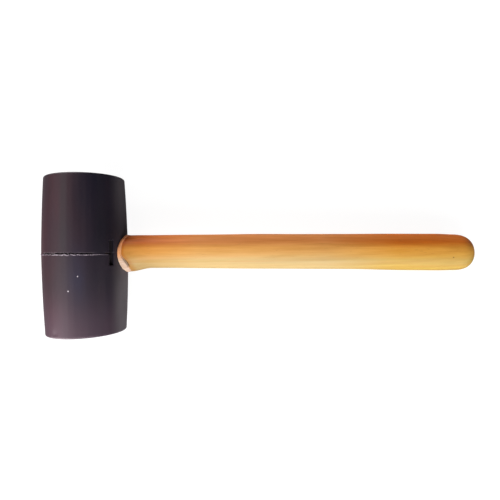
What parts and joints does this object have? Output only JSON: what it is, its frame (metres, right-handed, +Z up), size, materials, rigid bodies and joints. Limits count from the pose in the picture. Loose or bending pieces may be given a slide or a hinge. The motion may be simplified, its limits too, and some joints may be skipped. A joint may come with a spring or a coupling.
{
  "type": "rubber mallet",
  "caption": "Rubber mallet: a barrel-shaped moulded rubber head on a turned, lacquered wooden handle, wedged through the head.",
  "frame": {"origin": "on the surface that the mallet lies on, under the middle of its bounding box", "axes": "+Z up from the surface, +X along the handle towards the grip's end, +Y along the head's own axis towards one striking face"},
  "size_m": [0.3274, 0.1146, 0.06],
  "materials": {
    "rubber": "matt moulded rubber, dusty black with a purple-brown cast",
    "lacquered_wood": "honey-orange hardwood under clear satin lacquer",
    "wedge_wood": "raw sawn hardwood",
    "steel": "bare drawn steel, dulled"
  },
  "bodies": {
    "root": {"rubber_head": "rubber", "handle": "lacquered_wood", "wood_wedge": "wedge_wood", "steel_wedge": "steel"}
  },
  "joints": []
}
